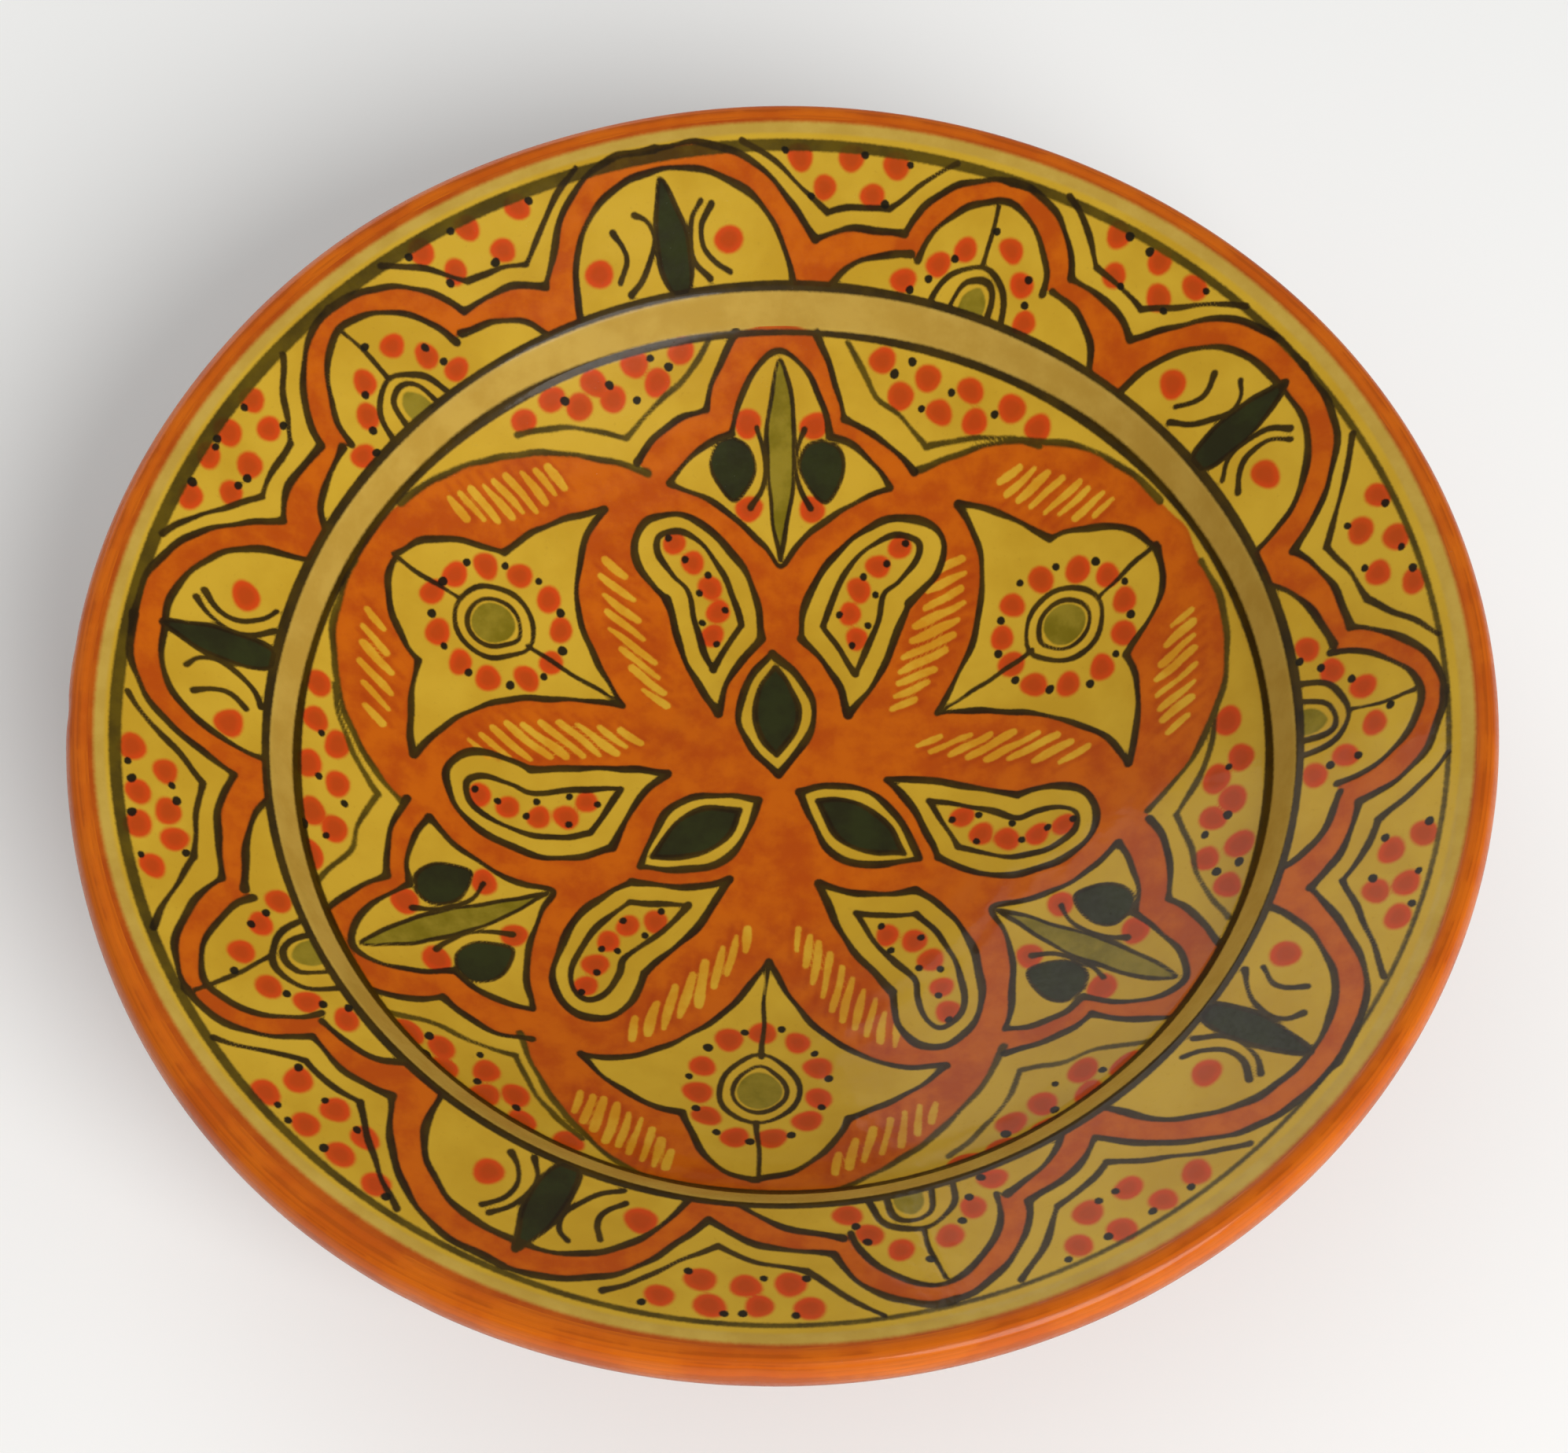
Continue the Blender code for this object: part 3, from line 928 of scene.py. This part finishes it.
def paint_flower(canvas, place):
    """The olive eye with two outlines, its stem, and the wreath of dabs around it."""
    eye = (0.0, 76.5)
    canvas.area("olive", place(rosette(eye, 4.8, 0.0)))
    canvas.stroke("line", place(rosette(eye, 5.7, 0.8)), 1.25)
    canvas.stroke("line", place(rosette(eye, 8.5, 1.2)), 1.35)
    canvas.line(place([(-0.2, 85), (-1.3, 94), (-1.6, 101)]), 1.15, 1.3)
    canvas.line(place([(0.1, 67.5), (0.6, 55), (0.5, 44)]), 1.15, 1.2)

    def on_wreath(bearing, width, height):
        return place((0.3 + width * math.cos(bearing), 75.6 + height * math.sin(bearing)))[0]

    for i in range(WREATH_DABS):
        bearing = math.radians(90 - WREATH_GAP - i * (360 - 2 * WREATH_GAP) / (WREATH_DABS - 1))
        spot = on_wreath(bearing, 13.4, 14.2)
        canvas.dot("red", spot + jitter(0.4), RANDOM.uniform(5.7, 6.4), 0.93)
        speck = on_wreath(bearing - math.radians(WREATH_GAP), 14.4, 15.2)
        canvas.dot("black", speck + jitter(0.4), RANDOM.uniform(1.7, 2.3))


def rosette(centre, radius, point):
    """A closed ring, drawn out to a point on its lower side."""
    turn = np.radians(np.arange(0, 361, 10))
    reach_out = radius + point * np.exp(-((turn - 1.5 * np.pi) / 0.35) ** 2)
    return np.column_stack([centre[0] + reach_out * np.cos(turn), centre[1] + reach_out * np.sin(turn)])


def paint_hatching(canvas, place, middle_line, lean, length):
    """Straight yellow strips left between orange strokes, longest in the middle of the row."""
    middle_line = curve(middle_line, 0.5)
    heading = np.array([lean, -1.0])
    row = middle_line[-1] - middle_line[0]
    count = int(abs(row[0] * heading[1] - row[1] * heading[0]) / np.hypot(*heading) / STRIP_SPACING)
    for i in range(count):
        share = (i + 0.5) / count
        middle = middle_line[int(share * (len(middle_line) - 1))] + jitter(0.12)
        half = 0.5 * length * (0.30 + 0.70 * math.sin(math.pi * share) ** 0.7)
        half *= RANDOM.uniform(0.88, 1.1)
        tilt = heading + (RANDOM.normal(0, 0.03), 0.0)
        width = RANDOM.uniform(1.7, 2.2)
        canvas.line(place([middle - half * tilt, middle + half * tilt]), width, 0.8, "streak")
        beside = middle + (0.5 * STRIP_SPACING, 0.0)
        reach_out = half + RANDOM.uniform(1.0, 2.5)
        wash = place([beside - reach_out * tilt, beside + reach_out * tilt])
        canvas.stroke("wash", wash, 1.3, 0.7)


def paint_well(piece):
    canvas = Canvas(piece)
    canvas.fields["yellow"] = np.full(len(canvas.xy), FAR)
    boundary = []
    for k in range(3):
        arch = well_frame(FIRST_ARCH, ARCH_LEAN, k)
        shield = well_frame(FIRST_SHIELD, SHIELD_LEAN, k)
        for part in CROWN_LEFT + (CROWN_TOP,) + CROWN_RIGHT:
            boundary.append(curve(arch(part), 1.5))
        shoulders = shoulder_arc(k, -1) + [(0, 107.5)] + shoulder_arc(k, 1)[::-1]
        boundary.append(curve(shield(shoulders), 1.5))
        paint_arch(canvas, arch)
        paint_well_field(canvas, arch)
        paint_paisleys(canvas, arch)
        paint_almond(canvas, arch)
        paint_shield(canvas, shield, k)
    canvas.area("orange", np.vstack(boundary))
    canvas.fields["orange"] = np.maximum(canvas.fields["orange"], -canvas.fields.pop("yellow"))
    paint_rings(canvas)
    canvas.finish()


# ------------ materials

def linear(red, green, blue):
    """A colour given in the usual 0 to 255 steps, as Blender wants it."""
    steps = [value / 255.0 for value in (red, green, blue)]
    return tuple(s / 12.92 if s <= 0.04045 else ((s + 0.055) / 1.055) ** 2.4 for s in steps) + (1.0,)


class Tree:
    """A material's nodes, added by name."""

    def __init__(self, name):
        self.material = bpy.data.materials.new(name)
        self.material.use_nodes = True
        self.nodes = self.material.node_tree.nodes
        self.shader = self.nodes["Principled BSDF"]
        self.place = self.add("ShaderNodeTexCoord").outputs["Object"]

    def add(self, kind, inputs=None, **settings):
        made = self.nodes.new(kind)
        for name, value in settings.items():
            setattr(made, name, value)
        for name, value in (inputs or {}).items():
            self.feed(made.inputs[name], value)
        return made

    def feed(self, socket, value):
        if isinstance(value, bpy.types.NodeSocket):
            self.material.node_tree.links.new(value, socket)
        else:
            socket.default_value = value

    def field(self, name):
        return self.add("ShaderNodeAttribute", attribute_name=name).outputs["Fac"]

    def math(self, operation, first, second=0.0):
        return self.add("ShaderNodeMath", {0: first, 1: second}, operation=operation).outputs[0]

    def look(self, inputs):
        """Feed the shader's inputs by name."""
        for name, value in inputs.items():
            self.feed(self.shader.inputs[name], value)

    def noise(self, size, detail=3.0, roughness=0.55):
        """Noise with features of about this size in millimetres, from 0 to 1."""
        inputs = {"Vector": self.place, "Scale": (1.0 / MM,) * 3}
        place = self.add("ShaderNodeMapping", inputs).outputs[0]
        inputs = {"Vector": place, "Scale": 1.0 / size, "Detail": detail, "Roughness": roughness}
        return self.add("ShaderNodeTexNoise", inputs).outputs["Fac"]

    def turning_noise(self, scale, detail, drift=0.0):
        """Noise that changes only along the outline, and so runs in rings round the plate."""
        place = self.add("ShaderNodeCombineXYZ", {0: self.field("travel"), 1: drift}).outputs[0]
        inputs = {"Vector": place, "Scale": scale, "Detail": detail}
        return self.add("ShaderNodeTexNoise", inputs).outputs["Fac"]

    def ramp(self, value, low, high, to_low=0.0, to_high=1.0):
        """A smooth step from to_low at low to to_high at high."""
        inputs = {0: value, 1: low, 2: high, 3: to_low, 4: to_high}
        return self.add("ShaderNodeMapRange", inputs, interpolation_type="SMOOTHSTEP").outputs[0]

    def mix(self, share, first, second):
        """The first colour going over to the second as share goes from 0 to 1."""
        made = self.add("ShaderNodeMix", data_type="RGBA", blend_type="MIX")
        self.feed(made.inputs[0], share)
        self.feed(made.inputs[6], first)
        self.feed(made.inputs[7], second)
        return made.outputs[2]

    def bump(self, height, strength, distance, normal=None):
        inputs = {"Height": height, "Strength": strength, "Distance": distance * MM}
        if normal is not None:
            inputs["Normal"] = normal
        return self.add("ShaderNodeBump", inputs).outputs[0]


# Paint layers from the bottom up: field, two tones, edge softness, grain of the edge, cover
PAINTS = (
    ("cream", (192, 160, 74), (180, 146, 62), 0.5, 0.3, 0.8),
    ("rim", (182, 86, 8), (166, 70, 6), 0.6, 0.4, 1.0),
    ("orange", (197, 95, 0), (178, 73, 0), 0.35, 0.3, 1.0),
    ("wash", (168, 60, 0), (158, 52, 0), 0.8, 0.3, 0.55),
    ("streak", (212, 166, 44), (204, 142, 24), 0.3, 0.4, 0.92),
    ("olive", (112, 98, 4), (140, 122, 30), 0.35, 0.3, 0.97),
    ("red", (204, 58, 6), (194, 62, 4), 0.6, 0.3, 0.95),
    ("leaf", (8, 22, 10), (24, 38, 14), 0.3, 0.3, 0.97),
    ("ring", (56, 44, 0), (82, 66, 0), 0.35, 0.4, 0.95),
    ("line", (32, 20, 0), (56, 40, 0), 0.28, 0.25, 0.97),
    ("black", (18, 14, 2), (26, 20, 6), 0.25, 0.2, 0.98),
)


# Where a paint lies thicker: the orange at its edge and the red in the middle of a dab, as the
# distances (mm) between which the pooling grows, and its amount at the two.
POOLING = {"orange": (-1.6, 0.0, 0.0, 0.30), "red": (-0.5, -2.2, 0.0, 0.55)}


def painted_glaze(name, ground):
    """Glossy glaze over a mottled ground with every paint layer on it."""
    tree = Tree(name)
    light, dark = ground
    cloud = tree.noise(26.0, 4.0)
    grain = tree.noise(1.1, 4.0)
    edge_grain = tree.noise(0.9, 3.0)
    brush = tree.noise(10.0, 4.0, roughness=0.6)
    colour = tree.mix(tree.ramp(cloud, 0.35, 0.68), linear(*light), linear(*dark))
    colour = tree.mix(tree.ramp(grain, 0.60, 0.78, 0.0, 0.22), colour, linear(160, 122, 24))
    for field, first, second, softness, roughness, cover in PAINTS:
        shifted = tree.math("MULTIPLY_ADD", edge_grain, roughness)
        shifted.node.inputs[2].default_value = -0.5 * roughness
        distance = tree.math("ADD", tree.field(field), shifted)
        mask = tree.ramp(distance, softness, -softness, 0.0, cover)
        tone = tree.mix(tree.ramp(brush, 0.34, 0.66), linear(*first), linear(*second))
        if field in POOLING:
            pooled = tree.ramp(distance, *POOLING[field])
            tone = tree.mix(pooled, tone, linear(*[0.84 * value for value in second]))
        colour = tree.mix(mask, colour, tone)
    tree.look({"Base Color": colour})
    finish_glaze(tree, grain)
    return tree.material


def finish_glaze(tree, grain, coat_weight=0.16, ridges=None):
    """Gloss with slight waves, pinholes and fine scuffs, over throwing ridges where given."""
    wave = tree.noise(9.0, 2.0)
    fine = tree.noise(2.2, 2.0)
    pinhole = tree.ramp(tree.noise(0.8, 1.0), 0.74, 0.80, 0.0, -1.0)
    normal = tree.bump(wave, 0.35, 0.35)
    if ridges is not None:
        normal = tree.bump(ridges, 0.45, 0.30, normal)
    normal = tree.bump(fine, 0.20, 0.10, normal)
    normal = tree.bump(pinhole, 0.30, 0.08, normal)
    tree.look({
        "Normal": normal,
        "Coat Normal": normal,
        "Roughness": tree.ramp(grain, 0.3, 0.8, 0.34, 0.52),
        "Coat Weight": coat_weight,
        "Coat Roughness": tree.ramp(tree.noise(14.0), 0.3, 0.7, 0.06, 0.16),
        "Specular IOR Level": 0.10,
    })


def brushed_glaze(name, bright, dark, worn):
    """Brown-orange glaze brushed on the turning plate: streaks, painted shade that darkens the lower side,
    and bare clay where worn.
    """
    tree = Tree(name)
    cloud = tree.noise(18.0, 4.0)
    streaks = tree.turning_noise(1.3, 4.0, tree.math("MULTIPLY", cloud, 2.0))
    grain = tree.noise(1.0, 4.0)
    colour = tree.mix(tree.ramp(cloud, 0.32, 0.68), linear(*bright), linear(*dark))
    colour = tree.mix(tree.ramp(streaks, 0.40, 0.70, 0.0, 0.5), colour, linear(*[0.78 * v for v in dark]))
    # Painted shade: the glaze turns darker brown where the stored shade amount is high, on the lip's lower
    # side and over the whole back
    colour = tree.mix(tree.ramp(tree.field("painted_shade"), 0.0, 1.0, 0.0, 0.85), colour, linear(126, 60, 24))
    wear = tree.math("ADD", tree.field("wear"), tree.math("MULTIPLY", tree.noise(2.6, 5.0), 0.9))
    colour = tree.mix(tree.ramp(wear, 0.98, 1.16), colour, linear(*worn))
    cream = tree.math("SUBTRACT", tree.field("rim"), tree.math("MULTIPLY", grain, 0.6))
    colour = tree.mix(tree.ramp(cream, -0.2, 0.6), colour, linear(188, 154, 64))
    tree.look({"Base Color": colour})
    ridges = tree.turning_noise(0.45, 3.0, tree.math("MULTIPLY", cloud, 0.6))
    finish_glaze(tree, grain, 0.22, ridges)
    return tree.material


def bare_clay(name, light, dark):
    """Fired earthenware with grog, fine turning lines and a dusty bloom."""
    tree = Tree(name)
    grain = tree.noise(0.7, 5.0)
    cloud = tree.noise(15.0, 4.0)
    colour = tree.mix(tree.ramp(cloud, 0.3, 0.7), linear(*light), linear(*dark))
    colour = tree.mix(tree.ramp(grain, 0.62, 0.74, 0.0, 0.6), colour, linear(222, 190, 150))
    colour = tree.mix(tree.ramp(grain, 0.36, 0.28, 0.0, 0.5), colour, linear(92, 48, 28))
    normal = tree.bump(tree.turning_noise(1.6, 3.0), 0.5, 0.25)
    normal = tree.bump(grain, 0.5, 0.20, normal)
    roughness = tree.ramp(grain, 0.3, 0.7, 0.75, 0.95)
    tree.look({"Base Color": colour, "Roughness": roughness, "Normal": normal})
    return tree.material


# ------------ the pieces

YELLOW_GROUND = ((202, 163, 44), (190, 149, 34))
OCHRE_GROUND = ((191, 155, 54), (175, 138, 44))


def shown_length(first, last):
    """Length of the shown side of a coat, in millimetres."""
    return float(np.hypot(*np.diff(PROFILE[first:last + 1], axis=0).T).sum()) + 0.05


def hand_over(piece, material, node):
    """Give a piece its material, hide the solid that it stands for, and attach the piece to the root body.
    """
    piece.data.materials.append(material)
    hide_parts(node)
    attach(piece, "root")


def ring_coat(name, first, last, step, columns):
    """A coat in the shape of a ring, with its bake layout."""
    piece = coat(name, first, last, step, columns)
    strip_layout(piece, shown_length(first, last))
    return piece


def make_well():
    last = station(WELL_EDGE)
    piece = coat("painted_well", 0, last, step=0.62, columns=1024, halving=True)
    flat_layout(piece, WELL_EDGE + 1.0, shown_length(0, last))
    paint_well(piece)
    hand_over(piece, painted_glaze("painted_well_glaze", YELLOW_GROUND), "well_glaze")


def make_ledge():
    first, last = station(WELL_EDGE), station(LEDGE_EDGE)
    piece = ring_coat("painted_ledge", first, last, step=0.45, columns=1024)
    paint_rings_only(piece)
    hand_over(piece, painted_glaze("ledge_glaze_ochre", OCHRE_GROUND), "ledge_glaze")


def make_flange():
    first, last = station(LEDGE_EDGE), station(LIP_R)
    piece = ring_coat("painted_flange", first, last, step=0.6, columns=1440)
    paint_flange(piece)
    hand_over(piece, painted_glaze("painted_flange_glaze", YELLOW_GROUND), "flange_glaze")


def lip_wear_and_painted_shade(piece):
    """Where the lip gets painted shade, darker towards its underside, where it is worn through, and where
    its orange begins.
    """
    points = coordinates(piece)
    bearing = np.degrees(np.arctan2(points[:, 1], points[:, 0]))
    height = points[:, 2]
    radius = np.hypot(points[:, 0] - ORANGE_SHIFT, points[:, 1]) / oval(np.radians(bearing))
    put(piece, "rim", ORANGE_R - radius)
    # Painted shade: darker brown the further a vertex lies below the crown of the lip
    put(piece, "painted_shade", np.clip((RIM_TOP - 3.5 - height) / 7.0, 0.0, 1.0))
    left = np.exp(-(wrapped(bearing - 182.0) / 9.0) ** 2)
    low_left = np.exp(-((bearing + 118.0) / 8.0) ** 2)
    near = np.exp(-((bearing + 92.0) / 5.0) ** 2)
    outer_side = np.clip((RIM_TOP - 1.0 - height) / 3.0, 0.0, 1.0)
    put(piece, "wear", outer_side * (0.56 * left + 0.40 * low_left + 0.46 * near))


# Bearing in degrees, distance below the crown, size and depth of each dent
CHIPS = (
    (183, 4.5, 3.4, 0.35), (177, 5.5, 2.6, 0.3), (-118, 4.5, 3.2, 0.35),
    (-93, 3.5, 3.6, 0.3), (-60, 5.0, 2.4, 0.25), (20, 5.0, 2.4, 0.25),
)


def chip(piece):
    """Small dents where the lip has been knocked."""
    points = coordinates(piece)
    for bearing, drop, size, depth in CHIPS:
        turn = math.radians(bearing)
        spot = np.array([OUTER_R * math.cos(turn), OUTER_R * math.sin(turn), RIM_TOP - drop])
        share = np.exp(-((points - spot) ** 2).sum(axis=1) / size ** 2)
        points[:, :2] *= 1.0 - (depth * share / OUTER_R)[:, None]
    move(piece, points)


def make_rim():
    first, last = station(LIP_R), LIP_END
    piece = ring_coat("glazed_rim", first, last, step=0.55, columns=1080)
    lip_wear_and_painted_shade(piece)
    chip(piece)
    glaze = brushed_glaze("rim_glaze_orange", (204, 101, 6), (186, 82, 3), (146, 84, 50))
    hand_over(piece, glaze, "rim_glaze")


def make_back():
    first, last = LIP_END, len(PROFILE) - 1
    piece = ring_coat("glazed_back", first, last, step=1.2, columns=720)
    # The whole back gets painted shade at 0.75, no cream band and a little wear
    for name, value in (("rim", -FAR), ("painted_shade", 0.75), ("wear", 0.12)):
        put(piece, name, np.full(len(piece.data.vertices), value))
    glaze = brushed_glaze("back_glaze_brown", (164, 84, 34), (136, 62, 24), (150, 92, 62))
    hand_over(piece, glaze, "back_glaze")


def make_clay():
    """The thrown dish under the glaze; its turned underside shows inside the foot ring."""
    picks = spread_indices(0, len(PROFILE) - 1, 320)
    under_glaze = PROFILE[picks] - (GLAZE + 0.1) * NORMALS[picks]
    under_glaze[0, 0] = 0.0
    radii = np.linspace(FOOT_R - 1.0, 0.0, 90)
    ridges = 0.16 * np.sin(2 * np.pi * radii / 4.6) + 0.10 * np.sin(2 * np.pi * radii / 1.9)
    boss = 0.9 * np.exp(-(radii / 5.0) ** 2)
    underside = np.column_stack([radii, UNDERSIDE_Z + 0.3 + ridges - boss])
    outline = np.vstack([under_glaze[:-1], underside])
    piece = turned("fired_clay", outline, 512, halving=True, closed=False)
    clay = bare_clay("clay_fired", (186, 112, 70), (160, 88, 52))
    hand_over(piece, clay, "clay_body")


def make_foot():
    """The foot ring: tapered, with soft edges, turning lines and a worn resting face."""
    inner, outer = FOOT_R - FOOT_WIDTH, FOOT_R
    corners = [(inner, UNDERSIDE_Z), (inner + 1.0, 0.7), (inner + 1.9, 0.0), (outer - 2.1, 0.0),
               (outer - 1.3, 0.7), (outer, FOOT_TOP)]
    step = 0.25
    line = evenly(np.array(corners), step)
    grooves = 0.07 * np.sin(2 * np.pi * np.arange(len(line)) * step / 1.7) * (line[:, 1] > 1.2)
    line = line - grooves[:, None] * left_normals(line)
    line[:, 1] = np.maximum(line[:, 1], 0.0)
    piece = turned("turned_foot", line[::-1], 512)
    clay = bare_clay("clay_foot", (192, 120, 78), (168, 96, 60))
    hand_over(piece, clay, "foot_ring")


# ------------ studio

# The camera stands in front of the plate: degrees and millimetres, but the fade of the floor
# and the lamps are in metres
CAMERA_ELEVATION = 62.1
CAMERA_DISTANCE = 594.0
CAMERA_SHIFT = (-0.3, 13.5)
CAMERA_ROLL = 0.9
CAMERA_LENS = 65.0
CAMERA_SENSOR = 36.0
FLOOR_SIZE = 4000.0
FLOOR_FADE = (0.5, 1.6)
WORLD_LIGHT = 0.34
WHITE = (1.0, 1.0, 1.0, 1.0)
LAMP_TARGET = (0.0, 0.0, 0.05)


def make_floor():
    """A pale floor whose far part the camera sees fade to white."""
    corners = FLOOR_SIZE * np.array([(-1, -1, 0), (1, -1, 0), (1, 1, 0), (-1, 1, 0)])
    floor = mesh_object("floor", corners, [(0, 1, 2, 3)])
    tree = Tree("floor_pale")
    place = tree.add("ShaderNodeNewGeometry").outputs["Position"]
    away = tree.add("ShaderNodeVectorMath", {0: place}, operation="LENGTH").outputs["Value"]
    camera_ray = tree.add("ShaderNodeLightPath").outputs["Is Camera Ray"]
    fade = tree.math("MULTIPLY", tree.ramp(away, *FLOOR_FADE), camera_ray)
    tree.look({"Emission Color": WHITE, "Emission Strength": fade})
    tree.look({"Base Color": linear(252, 252, 250), "Roughness": 0.9})
    floor.data.materials.append(tree.material)


def make_light(name, place, size, power):
    """A round soft lamp turned to the plate."""
    lamp = bpy.data.lights.new(name, "AREA")
    lamp.shape = "DISK"
    lamp.size = size
    lamp.energy = power
    holder = bpy.data.objects.new(name, lamp)
    holder.location = place
    way = Vector(LAMP_TARGET) - Vector(place)
    holder.rotation_euler = way.to_track_quat("-Z", "Y").to_euler()
    bpy.context.scene.collection.objects.link(holder)


def make_world():
    """Soft light from all around, which the camera itself sees as plain white."""
    world = bpy.data.worlds.new("studio")
    world.use_nodes = True
    nodes, links = world.node_tree.nodes, world.node_tree.links
    light = nodes["Background"]
    seen = nodes.new("ShaderNodeBackground")
    choice = nodes.new("ShaderNodeMixShader")
    for background, strength in ((light, WORLD_LIGHT), (seen, 1.0)):
        background.inputs["Color"].default_value = WHITE
        background.inputs["Strength"].default_value = strength
    links.new(nodes.new("ShaderNodeLightPath").outputs["Is Camera Ray"], choice.inputs[0])
    links.new(light.outputs[0], choice.inputs[1])
    links.new(seen.outputs[0], choice.inputs[2])
    links.new(choice.outputs[0], nodes["World Output"].inputs["Surface"])
    bpy.context.scene.world = world


def make_studio():
    """A large lamp in front of the plate and a weak one behind it, in a white room."""
    make_world()
    make_light("front_right", (0.75, -1.15, 1.05), size=1.1, power=27.0)
    make_light("back_left", (-0.7, 1.3, 0.55), size=1.3, power=9.5)


def make_camera():
    """The camera, aimed past the middle of the rim's plane."""
    elevation, roll = math.radians(CAMERA_ELEVATION), math.radians(CAMERA_ROLL)
    right = Vector((1.0, 0.0, 0.0))
    up = Vector((0.0, math.sin(elevation), math.cos(elevation)))
    toward = Vector((0.0, -math.cos(elevation), math.sin(elevation)))
    place = Vector((0.0, 0.0, RIM_Z)) + toward * CAMERA_DISTANCE
    place -= right * CAMERA_SHIFT[0]
    place -= up * CAMERA_SHIFT[1]
    turned_right = math.cos(roll) * right - math.sin(roll) * up
    turned_up = math.sin(roll) * right + math.cos(roll) * up
    camera = bpy.data.cameras.new("camera")
    camera.lens = CAMERA_LENS
    camera.sensor_width = CAMERA_SENSOR
    holder = bpy.data.objects.new("camera", camera)
    axes = Matrix((turned_right, turned_up, toward)).transposed()
    holder.matrix_world = Matrix.Translation(place * MM) @ axes.to_4x4()
    bpy.context.scene.collection.objects.link(holder)
    bpy.context.scene.camera = holder


make_well()
make_ledge()
make_flange()
make_rim()
make_back()
make_clay()
make_foot()
make_floor()
make_studio()
make_camera()
bpy.context.scene.view_settings.view_transform = "Standard"
